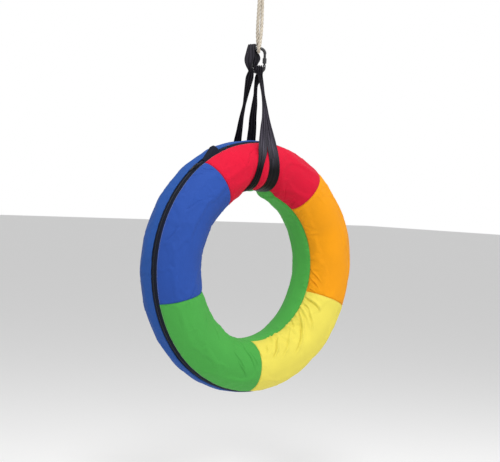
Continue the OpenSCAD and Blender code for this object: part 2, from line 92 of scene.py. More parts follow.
def make_camera():
    """The camera stands off the ring's front left, a little above its middle, and leans slightly."""
    turn, height, lean = CAMERA_TURN, CAMERA_HEIGHT, CAMERA_LEAN
    out = Vector((-math.sin(turn) * math.cos(height), -math.cos(turn) * math.cos(height), math.sin(height)))
    right = Vector((math.cos(turn), -math.sin(turn), 0))
    up = out.cross(right)
    right, up = right * math.cos(lean) - up * math.sin(lean), up * math.cos(lean) + right * math.sin(lean)
    data = bpy.data.cameras.new("camera")
    data.lens, data.sensor_width = CAMERA_LENS, SENSOR
    data.shift_x, data.shift_y = CAMERA_SHIFT
    cam = add_object("camera", data)
    m = Matrix((right, up, out)).transposed().to_4x4()
    m.translation = Vector((0, 0, RING_Z)) + out * CAMERA_DISTANCE
    cam.matrix_world = m
    bpy.context.scene.camera = cam


def area_light(name, place, size, power):
    """A square light, aimed at the ring's middle."""
    data = bpy.data.lights.new(name, "AREA")
    data.shape, data.size, data.energy = "SQUARE", size, power
    o = add_object(name, data)
    o.location = place
    o.rotation_euler = (Vector(place) - Vector((0, 0, RING_Z))).to_track_quat("Z", "Y").to_euler()


def make_studio():
    world = bpy.data.worlds.new("studio")
    world.use_nodes = True
    background = world.node_tree.nodes["Background"]
    background.inputs["Color"].default_value = (1, 1, 1, 1)
    seen = world.node_tree.nodes.new("ShaderNodeLightPath").outputs["Is Camera Ray"]
    strength = world.node_tree.nodes.new("ShaderNodeMapRange")
    strength.inputs["To Min"].default_value = WORLD_LIGHT
    strength.inputs["To Max"].default_value = 1.0
    world.node_tree.links.new(seen, strength.inputs["Value"])
    world.node_tree.links.new(strength.outputs["Result"], background.inputs["Strength"])
    bpy.context.scene.world = world
    bpy.context.scene.view_settings.view_transform = "Standard"
    area_light("key", (-2.4, -3.2, 2.2), 1.4, KEY_LIGHT)
    area_light("fill", (2.6, -2.6, 0.6), 2.2, FILL_LIGHT)
    area_light("top", (-0.7, -0.9, 1.7), 2.0, TOP_LIGHT)
    floor = bpy.data.meshes.new("floor")
    corners = [(x * FLOOR_HALF, y * FLOOR_HALF, FLOOR_Z) for x, y in ((-1, -1), (1, -1), (1, 1), (-1, 1))]
    floor.from_pydata(corners, [], [(0, 1, 2, 3)])
    m = bpy.data.materials.new("floor")
    m.use_nodes = True
    bsdf = m.node_tree.nodes["Principled BSDF"]
    bsdf.inputs["Base Color"].default_value = (FLOOR_GREY, FLOOR_GREY, FLOOR_GREY, 1)
    bsdf.inputs["Roughness"].default_value = 0.9
    floor.materials.append(m)
    add_object("floor", floor)


make_camera()
make_studio()


# ---------- materials ----------

class Nodes:
    """Short words for a material's nodes. A value is a number, a colour or a node's output."""

    def __init__(self, name):
        self.m = bpy.data.materials.new(name)
        self.m.use_nodes = True
        self.t = self.m.node_tree

    def feed(self, socket, value):
        if isinstance(value, (int, float, tuple)):
            socket.default_value = value
        else:
            self.t.links.new(value, socket)

    def node(self, kind, output, inputs, **settings):
        """A new node with its inputs fed; gives the named output."""
        n = self.t.nodes.new(kind)
        for k, v in settings.items():
            setattr(n, k, v)
        for k, v in inputs.items():
            self.feed(n.inputs[k], v)
        return n.outputs[output]

    def coords(self, kind):
        return self.node("ShaderNodeTexCoord", kind, {})

    def noise(self, vector, scale, detail=3):
        return self.node("ShaderNodeTexNoise", "Fac", {"Scale": scale, "Detail": detail, "Vector": vector})

    def bands(self, vector, axis, scale, distortion=0.0):
        inputs = {"Scale": scale, "Distortion": distortion, "Vector": vector}
        return self.node("ShaderNodeTexWave", "Fac", inputs, bands_direction=axis)

    def math(self, op, a, b):
        return self.node("ShaderNodeMath", 0, {0: a, 1: b}, operation=op)

    def weigh(self, a, a_part, b, b_part):
        return self.math("ADD", self.math("MULTIPLY", a, a_part), self.math("MULTIPLY", b, b_part))

    def ramp(self, fac, low, high):
        n = self.t.nodes.new("ShaderNodeValToRGB")
        for element, colour in zip(n.color_ramp.elements, (low, high)):
            element.color = (*colour, 1)
        self.feed(n.inputs["Fac"], fac)
        return n.outputs["Color"]

    def span(self, fac, low, high):
        return self.node("ShaderNodeMapRange", "Result", {"To Min": low, "To Max": high, "Value": fac})

    def bump(self, height, strength, distance, after=None):
        inputs = {"Strength": strength, "Distance": distance, "Height": height}
        if after:
            inputs["Normal"] = after
        return self.node("ShaderNodeBump", "Normal", inputs)

    def set(self, **values):
        """Feeds the main shader's inputs and gives the finished material."""
        for k, v in values.items():
            socket = k.replace("_", " ").title().replace("Ior", "IOR")
            self.feed(self.t.nodes["Principled BSDF"].inputs[socket], v)
        return self.m


def shade(c, k):
    return tuple(min(1, x * k) for x in c)


def cloth(name, colour, thread=0.0011, sheen=0.03):
    """Plain-woven nylon: two sets of threads, soft mottling and a little sheen."""
    n = Nodes(name)
    uv = n.coords("UV")
    weave = n.math("MAXIMUM", n.bands(uv, "X", 0.16 / thread), n.bands(uv, "Y", 0.16 / thread))
    mottle = n.noise(uv, 9, 4)
    creases = n.noise(uv, 38, 3)
    base = n.ramp(n.weigh(mottle, 0.75, weave, 0.25), shade(colour, 0.84), shade(colour, 1.1))
    soft = n.bump(creases, 0.25, 0.004)
    return n.set(Base_Color=base, Roughness=n.span(mottle, 0.68, 0.88), Sheen_Weight=sheen,
                 Sheen_Roughness=0.4, Specular_Ior_Level=0.18, Normal=n.bump(weave, 0.35, 0.0006, soft))


def webbing(name):
    """Flat polyester webbing: fine lengthwise ribs, and paler satin streaks painted into its colour as
    painted sheen where a per-point attribute says the webbing faces the light.
    """
    n = Nodes(name)
    uv = n.coords("UV")
    ribs = n.bands(uv, "X", 100)
    picks = n.bands(uv, "Y", 150)
    streak = n.noise(n.node("ShaderNodeMapping", "Vector", {"Scale": (330, 9, 1), "Vector": uv}), 1.0)
    painted_sheen = n.node("ShaderNodeAttribute", "Fac", {}, attribute_name="painted_sheen")
    height = n.weigh(ribs, 0.7, picks, 0.3)
    # Painted highlight: the streaks, scaled by the per-point painted sheen amount, lift the near-black base
    # towards a pale violet grey.
    painted_highlight = n.math("MULTIPLY", n.math("POWER", streak, 2.8), painted_sheen)
    base = n.ramp(painted_highlight, (0.0035, 0.0033, 0.0042), (0.30, 0.27, 0.36))
    return n.set(Base_Color=base, Roughness=n.span(streak, 0.40, 0.55), Sheen_Weight=0.01,
                 Sheen_Roughness=0.3, Specular_Ior_Level=0.10, Normal=n.bump(height, 0.4, 0.0005))


def metal(name, colour, metallic, rough, grain=400):
    n = Nodes(name)
    p = n.coords("Object")
    wear_and_sheen = n.noise(p, grain, 3)
    cloud = n.noise(p, 30, 4)
    return n.set(Base_Color=n.ramp(cloud, shade(colour, 0.8), shade(colour, 1.15)), Metallic=metallic,
                 Roughness=n.span(wear_and_sheen, rough * 0.8, rough * 1.25), Normal=n.bump(wear_and_sheen, 0.12, 0.0003))


def fibre(name, low, high, scale=260):
    """Twisted yarn: fine streaks along the strand."""
    n = Nodes(name)
    uv = n.coords("UV")
    yarn = n.bands(uv, "DIAGONAL", scale, 1.5)
    fuzz = n.noise(n.coords("Object"), 900, 4)
    dirt = n.noise(n.coords("Object"), 45, 3)
    height = n.weigh(yarn, 0.6, fuzz, 0.4)
    base = n.ramp(n.math("MULTIPLY", n.math("ADD", height, dirt), 0.55), low, high)
    return n.set(Base_Color=base, Roughness=0.85, Sheen_Weight=0.3, Sheen_Roughness=0.5,
                 Normal=n.bump(height, 0.6, 0.0008))


def rubber(name, colour):
    n = Nodes(name)
    grain = n.noise(n.coords("Object"), 300, 3)
    return n.set(Base_Color=n.ramp(grain, shade(colour, 0.8), shade(colour, 1.3)),
                 Roughness=n.span(grain, 0.5, 0.7), Normal=n.bump(grain, 0.2, 0.0004))


CLOTH = {
    "red": (0.60, 0.003, 0.030),
    "orange": (0.80, 0.305, 0.0035),
    "yellow": (0.74, 0.64, 0.095),
    "green": (0.064, 0.35, 0.060),
    "blue": (0.020, 0.070, 0.33),
}
MAT = {c: cloth("cloth_" + c, v) for c, v in CLOTH.items()}
MAT["band_blue"] = cloth("cloth_band_blue", (0.018, 0.080, 0.32))
MAT["band_green"] = cloth("cloth_band_green", (0.073, 0.385, 0.066))
OTHER_LOOKS = {
    "webbing": (webbing,),
    "tape": (cloth, (0.004, 0.007, 0.018), 0.0008, 0.0),
    "steel": (metal, (0.62, 0.63, 0.65), 1.0, 0.34),
    "black_steel": (metal, (0.020, 0.020, 0.022), 0.0, 0.36),
    "bronze": (metal, (0.62, 0.45, 0.24), 1.0, 0.4),
    "black_metal": (metal, (0.022, 0.022, 0.025), 0.3, 0.4),
    "rope": (fibre, (0.19, 0.16, 0.12), (0.74, 0.66, 0.54)),
    "twine": (fibre, (0.30, 0.26, 0.19), (0.80, 0.72, 0.58), 500),
    "rubber": (rubber, (0.03, 0.03, 0.032)),
    "coil": (metal, (0.004, 0.007, 0.016), 0.0, 0.5, 700),
}
for name, (make, *values) in OTHER_LOOKS.items():
    MAT[name] = make(name, *values)
for colour, value in CLOTH.items():
    pale = [tuple(part * v + white for v in value) for part, white in ((0.75, 0.10), (0.6, 0.30))]
    MAT["edge_" + colour] = fibre("edge_" + colour, *pale, 900)
    MAT["thread_" + colour] = fibre("thread_" + colour, shade(value, 0.6), shade(value, 0.95), 900)

CAD_LOOKS = {
    "steel": ["pivot_bolt", "pivot_nut", "pivot_washers", "swivel_head", "swivel_housing",
              "bearing_washer_lower", "bearing_balls", "bearing_washer_upper", "swivel_eye",
              "rope_thimble", "gate_pin", "gate_spring", "valve_plug"],
    "black_steel": ["ceiling_plate", "hanger_cheek_left", "hanger_cheek_right", "carabiner_body",
                    "carabiner_gate", "lock_sleeve"],
    "bronze": ["pivot_bush"],
    "rubber": ["inner_tube", "valve_body"],
    "black_metal": ["zip_stop", "zip_slider", "zip_pull"],
}
for look, names in CAD_LOOKS.items():
    for name in names:
        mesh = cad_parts[name].data
        mesh.materials.clear()
        mesh.materials.append(MAT[look])


# ---------- the tube's surface ----------

ARC, FLAT = math.pi * TUBE_R, 2 * HALF_FLAT
CORNERS = np.array([0, ARC, ARC + FLAT, 2 * ARC + FLAT, PERIMETER])


def section(s):
    """The outline s metres on from its outermost front point: radial and axial place, and normal."""
    s = np.asarray(s, float) % PERIMETER
    a = np.interp(s, CORNERS, [0, math.pi, math.pi, math.tau, math.tau])
    axial = np.interp(s, CORNERS, [HALF_FLAT, HALF_FLAT, -HALF_FLAT, -HALF_FLAT, HALF_FLAT])
    nr, na = np.cos(a), np.sin(a)
    return TUBE_R * nr, axial + TUBE_R * na, nr, na


def on_ring(u, radial, axial):
    """A place from its angle round the ring and its distances out from and in front of the tube's middle."""
    rho = RING_R + radial
    return np.stack(np.broadcast_arrays(rho * np.cos(u), -axial, RING_Z + rho * np.sin(u)), axis=-1)


def surface(u, s, lift=0.0, dented=True):
    """A place on the cover, lift metres off it along its normal."""
    radial, axial, nr, na = section(s)
    off = lift - (dent(u, s) if dented else 0.0)
    return on_ring(u, radial + nr * off, axial + na * off)


# Each sling's course on the tube: angle round the ring at the front, at the back, and the bulge between
SLINGS = {"left": (98.2, 90.0, 9.0), "right": (88.9, 79.5, 1.0)}
WRAP_FROM, WRAP_TO = -16.0, 196.0  # degrees on the section, from the frontmost line over the inner side
WEB_HALF = 0.0235  # half the width that a sling presses on
DENT = 0.015  # how deep the slings sink into the tube where they carry the load
DENT_FADE, DENT_ANGLE = 0.032, 62  # how the dent fades along the ring, and in degrees round the section
EDGE_DENT, EDGE_FADE = 0.0035, 25  # the dent under the rest of a sling, and the degrees it takes to end


def turn_gap(u, at):
    """The angle from at to u, between minus and plus half a turn."""
    return (u - at + math.pi) % math.tau - math.pi


def wrap_s(a):
    """Where on the outline the sling is, from its angle past the frontmost line."""
    return (90 + a) / 180 * ARC + FLAT * (np.asarray(a) > 90)


def wrap_angle(s):
    """The angle past the frontmost line, from the place on the outline."""
    return np.interp(s, CORNERS[[0, 1, 2, 4]], [-90, 90, 90, 270 + FLAT / ARC * 180])


def wrap_u(name, a):
    u0, u1, bulge = SLINGS[name]
    t = (np.asarray(a, float) - WRAP_FROM) / (WRAP_TO - WRAP_FROM)
    return np.radians(u0 + (u1 - u0) * t + bulge * np.sin(math.pi * np.clip(t, 0, 1)))


def from_sling(u, a):
    """Distance along the ring to the nearest sling's middle line."""
    rho = RING_R - TUBE_R * np.sin(np.radians(a))
    return np.minimum(*(np.abs(turn_gap(u, wrap_u(name, a))) * rho for name in SLINGS))


def dent(u, s):
    """How far the slings press the tube in: most at the bottom of each loop, fading along the ring."""
    a = wrap_angle(np.asarray(s, float) % PERIMETER)
    load = np.exp(-((a - 90) / DENT_ANGLE) ** 2)
    near = np.exp(-(np.maximum(0, from_sling(u, a) - WEB_HALF) / DENT_FADE) ** 2)
    edge = np.clip((a - WRAP_FROM) / EDGE_FADE, 0, 1) * np.clip((WRAP_TO - a) / EDGE_FADE, 0, 1)
    return DENT * load * near + EDGE_DENT * near * edge


PRESS_FADE = 0.012  # width beside a sling over which the cloth stops being pressed
PRESS_FROM, PRESS_TO, PRESS_END = -50, 230, 16  # degrees on the section, and degrees over which it fades


def pressed(u, s):
    """1 where webbing lies on the cover, fading to 0 just beside it."""
    a = wrap_angle(np.asarray(s, float) % PERIMETER)
    near = 1 - np.clip((from_sling(u, a) - WEB_HALF) / PRESS_FADE, 0, 1)
    return near * np.clip((a - PRESS_FROM) / PRESS_END, 0, 1) * np.clip((PRESS_TO - a) / PRESS_END, 0, 1)


# Seams on the outline: both edges of the zip, the inner band's two seams and the back's outer seam
ZIP_OUT, ZIP_IN = math.radians(0.6) * TUBE_R, math.radians(16.4) * TUBE_R
IN_FRONT = math.radians(164) * TUBE_R
IN_BACK = ARC + FLAT + math.radians(42) * TUBE_R
OUT_BACK = ARC + FLAT + math.radians(138) * TUBE_R
STRIPS = [("front", ZIP_IN, IN_FRONT, 44), ("inner", IN_FRONT, IN_BACK, 22), ("back", IN_BACK, OUT_BACK, 28),
          ("outer", OUT_BACK, PERIMETER + ZIP_OUT, 18), ("zip", PERIMETER + ZIP_OUT, PERIMETER + ZIP_IN, 4)]
ROUND = 480  # columns round the ring, 96 to a panel


def outline_rows():
    """The outline's rows, and the strip that each row of faces belongs to."""
    s = np.concatenate([np.linspace(a, b, n, endpoint=False) for _, a, b, n in STRIPS])
    return s, np.repeat(range(len(STRIPS)), [strip[3] for strip in STRIPS])


# Puckers: seam, which side of it, first and last angle round the ring, how many, height, length
GATHERS = [
    (IN_FRONT, -1, 275, 336, 12, 0.0085, 0.085),
    (IN_FRONT, -1, 344, 412, 12, 0.0038, 0.060),
    (IN_FRONT, -1, 200, 266, 13, 0.0026, 0.060),
    (IN_FRONT, -1, 128, 194, 11, 0.0020, 0.045),
    (IN_FRONT, -1, 56, 122, 12, 0.0024, 0.050),
    (IN_FRONT, 1, 0, 360, 60, 0.0022, 0.050),
    (IN_BACK, 1, 0, 360, 60, 0.0026, 0.055),
    (ZIP_IN, 1, 0, 360, 46, 0.0012, 0.030),
    (OUT_BACK, -1, 0, 360, 40, 0.0012, 0.030),
]
PUCKER_LEAN = 0.9  # sideways run for each metre from the seam
PUCKER_WIDE = (0.004, 0.009)
PUCKER_START = 0.006  # distance from the seam where a pucker is at its full height


def gathers(u, s):
    """Puckers where the flat-cut cloth is drawn in: short folds that run away from the seams."""
    h = np.zeros(np.broadcast(u, s).shape)
    for seam, side, first, last, count, height, reach in GATHERS:
        for _ in range(count):
            at = math.radians(rng.uniform(first, last))
            lean = rng.uniform(-PUCKER_LEAN, PUCKER_LEAN)
            high = height * rng.uniform(0.3, 1.0)
            long = reach * rng.uniform(0.5, 1.3)
            wide = rng.uniform(*PUCKER_WIDE)
            d = (s - seam) * side
            along = np.clip(d / long, 0, 1.5)
            away = turn_gap(u, at) * RING_R - lean * d * (d > 0)
            fold = high * np.exp(-(away / (wide * (1 + along))) ** 2) * np.exp(-along ** 2 * 2)
            h += np.where(d > 0, fold * np.minimum(1, d / PUCKER_START), 0)
    return h


# Sharp creases on the front: angle round the ring in degrees, then in millimetres the distance from the
# inner seam and the length, then the lean, then in millimetres the depth and half width
CREASES = [
    (319.5, 5, 108, -1.21, 8.5, 8.5), (294.2, 26, 70, -1.09, 7, 7), (305.5, 24, 80, -1.27, 4, 7.5),
    (333.5, 3, 80, -0.6, 6.2, 11), (323, 39, 55, -1.21, 4, 7.5), (281.8, 36, 35, -0.91, 3.4, 6),
    (328, 2, 45, -0.9, 3.6, 7), (312, 2, 40, -1.1, 3.2, 6), (248, 37, 97, 0.88, 3.4, 5.5),
    (241, 85, 50, 1.4, 2.6, 5), (223, 55, 40, 1.4, 2.6, 5), (245, 110, 50, 1.3, 2.4, 5),
    (262, 20, 70, 0.8, 2.2, 5), (232, 10, 50, 1, 2, 5), (255, 60, 60, 1, 2.4, 5),
    (214, 70, 40, 1.2, 1.8, 5), (357, 2, 45, -1.5, 4, 8), (3, 2, 50, -1.4, 3.4, 8),
    (346, 4, 40, -1, 2.4, 7), (134.5, 205, 38, 0.77, 3, 6), (127.5, 190, 40, 0.66, 3, 6),
    (146, 150, 40, 1.3, 2.4, 7), (185.8, 90, 45, 1.6, 2.2, 8), (160, 180, 50, 0.9, 2.2, 8),
    (104, 150, 50, -0.9, 2.2, 7), (72, 20, 50, 0.8, 2.4, 7), (60, 10, 40, 0.6, 2.6, 6),
]
VALLEY, RIDGE = 1.2, 0.8  # the valley's depth and the ridge's height, as parts of a crease's depth
VALLEY_WIDE = 0.42  # the valley's half width, as a part of the crease's
WANDER, WANDERS = 0.003, 7  # how far a crease strays sideways, and how often


def creases(u, s):
    """The sharp creases' height: a narrow valley with a soft ridge beside it."""
    h = np.zeros(np.broadcast(u, s).shape)
    for at, start_mm, long_mm, lean, deep_mm, wide_mm in CREASES:
        start, long, deep, wide = (v / 1000 for v in (start_mm, long_mm, deep_mm, wide_mm))
        d = IN_FRONT - start - s
        along = d / long
        run = np.sin(math.pi * np.clip(along, 0, 1)) ** 0.6
        away = turn_gap(u, math.radians(at)) * RING_R - lean * d + WANDER * np.sin(WANDERS * along)
        ridge = RIDGE * np.exp(-((away - wide) / wide) ** 2)
        h += run * deep * (ridge - VALLEY * np.exp(-(away / (VALLEY_WIDE * wide)) ** 2))
    return h


# Slow waves: how many round the ring, how many round the section, height
WAVES = ((3, 1, 0.0011), (7, 2, 0.0008), (13, 3, 0.0006), (21, 5, 0.0004))
WHOLE_TURN = 6.28  # radians, near enough


def waves(u, s):
    """Slow unevenness of a tube that isn't blown up hard."""
    h = 0
    for k, m, high in WAVES:
        round_ring = np.sin(k * u + rng.uniform(0, WHOLE_TURN))
        h = h + high * round_ring * np.cos(math.tau * m * s / PERIMETER + rng.uniform(0, WHOLE_TURN))
    return h


# ---------- building meshes ----------

def new_mesh(name, verts, faces, material, uvs=None, smooth=True):
    """A mesh object; uvs gives one pair for each vertex."""
    me = bpy.data.meshes.new(name)
    points = np.asarray(verts, float).reshape(-1, 3)
    me.from_pydata([tuple(v) for v in points], [], [tuple(int(i) for i in f) for f in faces])
    me.polygons.foreach_set("use_smooth", [smooth] * len(me.polygons))
    if uvs is not None:
        layer = me.uv_layers.new(name="uv")
        loops = np.empty(len(me.loops), int)
        me.loops.foreach_get("vertex_index", loops)
        layer.data.foreach_set("uv", np.asarray(uvs, float).reshape(-1, 2)[loops].ravel())
    me.materials.append(MAT[material])
    me.validate()
    me.update()
    return add_object(name, me)


def grid_faces(rows, cols, wrap_rows=False, wrap_cols=False, first=0):
    r = np.arange(rows if wrap_rows else rows - 1)
    c = np.arange(cols if wrap_cols else cols - 1)
    r, c = grid_of(r, c)
    r2, c2 = (r + 1) % rows, (c + 1) % cols
    quads = np.stack([r * cols + c, r2 * cols + c, r2 * cols + c2, r * cols + c2], axis=-1)
    return quads.reshape(-1, 4) + first


def unit(v):
    return v / np.maximum(np.linalg.norm(v, axis=-1, keepdims=True), 1e-12)


def grid_normals(p, closed_rows=False, closed_cols=False):
    def slope(q, axis, closed):
        if closed:
            return np.roll(q, -1, axis) - np.roll(q, 1, axis)
        return np.gradient(q, axis=axis)
    return unit(np.cross(slope(p, 0, closed_rows), slope(p, 1, closed_cols)))


def out_normals(grid, u, closed=False):
    """The normals of a grid on the cover, turned to point out of the tube."""
    n = grid_normals(grid, closed, closed)
    middle = on_ring(np.broadcast_to(u[:, None], grid.shape[:2]), 0.0, 0.0)
    return n if np.sum(n * (grid - middle)) > 0 else -n


def lengths(line):
    """How far along a line each of its points is."""
    return np.concatenate([[0], np.cumsum(np.linalg.norm(np.diff(line, axis=0), axis=1))])


def catmull(a, b, c, d, t):
    """The point at t, 0 to 1, between b and c on a smooth curve through all four."""
    bend = (2 * a - 5 * b + 4 * c - d) * t * t
    return 0.5 * (2 * b + (c - a) * t + bend + (3 * b - a - 3 * c + d) * t ** 3)


def frames_along(t, hint):
    """Two directions across a path at each of its points, which turn as little as they can."""
    ref = np.cross(t[0], hint)
    a = []
    for d in t:
        ref = ref - d * np.dot(ref, d)
        ref /= np.linalg.norm(ref)
        a.append(ref)
    a = np.array(a)
    return a, np.cross(t, a)


def ride(o, body, slot, *nodes):
    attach(o, body)
    if nodes:
        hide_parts(*nodes)
    return o


def strand(line, radius, a, b, sides, along, first=0):
    """A round strand's points, faces and UVs: metres round and along it. Its ends are closed."""
    angle = full_turn(sides)
    cos, sin = np.cos(angle)[None, :, None], np.sin(angle)[None, :, None]
    ring = line[:, None] + radius * (a[:, None] * cos + b[:, None] * sin)
    faces = list(grid_faces(len(line), sides, wrap_cols=True, first=first))
    last = first + (len(line) - 1) * sides
    faces += [tuple(range(first, first + sides))[::-1], tuple(range(last, last + sides))]
    uv = np.stack(np.broadcast_arrays(angle[None] * radius, along[:, None]), axis=-1)
    return ring, faces, uv


# ---------- rope ----------

def ramp(x):
    c = min(1, max(0, x))
    return c * c * (3 - 2 * c)


LEG_TOP, LEG_LOW = -144.7, -417.0  # millimetres, as in the part, down to the rope's path
LEGS_HALF, TURN_R, BOW_R = 6.9, 20.3, 12.3
TOP_SPREAD, LOW_SPREAD = 55, 34  # heights over which the legs spread to the turn and to the bow
LEGS_TWIST, TWIST_POWER = 130, 3.2  # degrees the legs turn about each other, most of it low down


def leg_point(z, start):
    half = (LEGS_HALF + (TURN_R - LEGS_HALF) * ramp((z - LEG_TOP + TOP_SPREAD) / TOP_SPREAD)
            + (BOW_R - LEGS_HALF) * ramp((LEG_LOW + LOW_SPREAD - z) / LOW_SPREAD))
    down = 1 - (z - LEG_LOW) / (LEG_TOP - LEG_LOW)
    turn = math.radians(360 - LEGS_TWIST * down ** TWIST_POWER + start)
    return [half * math.cos(turn), half * math.sin(turn), z]


def rope_path():
    legs = [*range(-152, -203, -10), *range(-222, -303, -20), -318, -332, -345,
            *range(-356, -397, -10), -407]
    bow = math.radians(360 - LEGS_TWIST)
    pts = [leg_point(z, 180) for z in (-207.6, -202, -192, -182, -172, -162, -152)]
    for a in np.radians(range(180, -1, -20)):
        pts.append([TURN_R * math.cos(a), 0, LEG_TOP + TURN_R * math.sin(a)])
    pts += [leg_point(z, 0) for z in legs]
    for b in np.radians(range(0, 181, 20)):
        across = BOW_R * math.cos(b)
        pts.append([across * math.cos(bow), across * math.sin(bow), LEG_LOW - BOW_R * math.sin(b)])
    pts += [leg_point(z, 180) for z in legs[::-1][:14]]
    pts.append(leg_point(-208.4, 180))
    return smooth_path(np.array(pts) / 1000, 0.0025)


def smooth_path(p, step):
    """Points about one step apart on a smooth curve through the given ones."""
    p = np.asarray(p, float)
    ext = np.vstack([2 * p[0] - p[1], p, 2 * p[-1] - p[-2]])
    out = []
    for i in range(1, len(ext) - 2):
        a, b, c, d = ext[i - 1:i + 3]
        n = max(1, int(math.ceil(np.linalg.norm(c - b) / step)))
        for t in np.arange(n) / n:
            out.append(catmull(a, b, c, d, t))
    out.append(p[-1])
    return np.array(out)


ROPE_LAY = 0.042  # metres of rope for one turn of its strands
STRAND_R, STRAND_OFF = 0.0031, 0.0034
STRAND_SIDES, TWINE_SIDES = 12, 8
TWINE_R = 0.00105
TWINE_TURNS, TWINE_STEPS = 7, 40  # turns, and points in each
TWINE_TOP, TWINE_LOW = -0.2008, -0.2152
TWINE_ROUND = 0.0078  # from a leg's middle to the twine's


def make_seizing():
    """Turns of twine round both legs."""
    line = []
    for i in range(TWINE_TURNS * TWINE_STEPS + 1):
        z = TWINE_TOP + (TWINE_LOW - TWINE_TOP) * i / (TWINE_TURNS * TWINE_STEPS)
        angle = math.tau * i / TWINE_STEPS
        leg_x, leg_y, _ = leg_point(z * 1000, 0)
        face = math.atan2(leg_y, leg_x)
        x, y = math.cos(angle) * TWINE_ROUND, math.sin(angle) * TWINE_ROUND
        x += math.copysign(LEGS_HALF / 1000, math.cos(angle)) * min(1, abs(math.cos(angle)) * 6)
        line.append([x * math.cos(face) - y * math.sin(face), x * math.sin(face) + y * math.cos(face), z])
    line = np.array(line)
    a, b = frames_along(unit(np.gradient(line, axis=0)), [0.3, 0.5, 0.81])
    verts, faces, uv = strand(line, TWINE_R, a, b, TWINE_SIDES, lengths(line))
    return ride(new_mesh("seizing_twine", verts, faces, "twine", uv), "rope_loop", "rope", "rope_seizing")


def make_rope():
    """Three strands laid round the rope's path, in one mesh."""
    path = rope_path()
    t = unit(np.gradient(path, axis=0))
    along = lengths(path)
    a, b = frames_along(t, [0, 1, 0.1])
    verts, faces, uvs = [], [], []
    for k in range(3):
        turn = math.tau * (along / ROPE_LAY + k / 3)
        line = path + STRAND_OFF * (a * np.cos(turn)[:, None] + b * np.sin(turn)[:, None])
        d = unit(np.gradient(line, axis=0))
        e = unit(np.cross(d, t))
        first = k * len(line) * STRAND_SIDES
        ring, quads, uv = strand(line, STRAND_R, e, np.cross(d, e), STRAND_SIDES, along, first)
        verts.append(ring)
        faces += quads
        uvs.append(uv)
    rope = ride(new_mesh("rope_strands", verts, faces, "rope", uvs), "rope_loop", "rope", "rope")
    make_seizing()


make_rope()


# ---------- ring cover ----------

SEAT = "seat"
CLOSER = 0.35  # how much closer the cloth's columns are at the seams


def columns():
    """Angles round the ring: closer together near the panels' seams."""
    n = ROUND // 5
    t = np.arange(n) / n
    warped = t - CLOSER * np.sin(math.tau * t) / math.tau
    return np.concatenate([FIRST_SEAM + PANEL_ANGLE * (k + warped) for k in range(5)])


def seam_gap(u):
    """Distance along the ring to the nearest seam between panels."""
    t = ((u - FIRST_SEAM) / PANEL_ANGLE) % 1
    return np.minimum(t, 1 - t) * PANEL_ANGLE * RING_R


PUFF = 0.0020  # the cover's height between its seams
SEAM_DEPTH, SEAM_WIDE = 0.0042, 0.0065  # seams that run round the ring
PANEL_SEAM_DEPTH, PANEL_SEAM_WIDE = 0.0040, 0.0055  # seams between panels
ZIP_LIFT = -0.0015
# The cloth stands up in a lip beside a sling, where the dent is this deep
LIP_AT, LIP_WIDE, LIP_HEIGHT = 0.006, 0.003, 0.0030


def relief(u, s):
    """The cover's height off the plain tube: full panels, drawn-in seams, puckers and slow waves."""
    seams = np.array([ZIP_IN, IN_FRONT, IN_BACK, OUT_BACK])
    to_ring_seam = np.min(np.abs(s[..., None] - seams), axis=-1)
    in_zip = (s > PERIMETER + ZIP_OUT) | (s < ZIP_IN)
    h = PUFF - SEAM_DEPTH * np.exp(-to_ring_seam / SEAM_WIDE)
    panel = (s > ZIP_IN) & (s < IN_FRONT) | (s > IN_BACK) & (s < OUT_BACK)
    h = np.where(panel, h - PANEL_SEAM_DEPTH * np.exp(-seam_gap(u) / PANEL_SEAM_WIDE), h)
    h = np.where(in_zip, ZIP_LIFT, h)
    ends = np.minimum(1, to_ring_seam / PUCKER_START)
    h = h + (gathers(u, s) + waves(u, s) * ends) * ~in_zip
    under = pressed(u, s)
    lips = np.exp(-((dent(u, s) - LIP_AT) / LIP_WIDE) ** 2) * LIP_HEIGHT
    return np.where(in_zip, h, h * (1 - under) + lips * (1 - under) - 0.0004 * under)


def make_cover():
    """The whole cover as one closed grid: its columns' angles and its points."""
    s, strip = outline_rows()
    u = columns()
    U, S = grid_of(u, s)
    shape = surface(U, S, relief(U, S))
    shape = blow_up(shape, out_normals(shape, u, True), U, S, strip)
    u, s, shape = finer(u, s, shape)
    return u, shape + out_normals(shape, u, True) * creases(u[:, None], s[None, :])[..., None]


def finer(u, s, shape):
    """Twice the columns and rows, on smooth curves through the ones there are."""
    def between(p, axis):
        a, b, c, d = (np.roll(p, k, axis) for k in (1, 0, -1, -2))
        mid = (9 * (b + c) - a - d) / 16 if axis == 0 else (b + c) / 2
        out = np.stack([p, mid], axis=axis + 1)
        size = list(p.shape)
        size[axis] *= 2
        return out.reshape(size)
    s_next = np.append(s[1:], PERIMETER + s[0])
    s = np.stack([s, (s + s_next) / 2], axis=-1).ravel()
    u = full_turn(2 * len(u)) + u[0]
    return u, s, between(between(shape, 0), 1)


# Pressure from inside on cloth that grows by 1.8%, held where the vertex group says
CLOTH_SETTINGS = dict(vertex_group_mass="held", quality=5, mass=0.25, tension_stiffness=25,
                      compression_stiffness=25, shear_stiffness=12, bending_stiffness=1.5, air_damping=2,
                      use_pressure=True, uniform_pressure_force=4, shrink_min=-0.018)
SIM_FRAMES = 20
SIM_SHARE = 0.5  # the share of the simulated movement that is kept
OUT_CAP, BACK_CAP, IN_CAP, SIDE_CAP = 0.006, 0.002, 0.004, 0.003  # how far a point may move, by its way
FRONT_STRIP, BACK_STRIP, ZIP_STRIP = 0, 2, 4
HELD_HALF, HELD_PAST = 0.028, 20  # the width and the degrees past a sling's ends where it holds the cloth
HELD_RING_R = 0.27  # a middling distance from the ring's middle, for that width


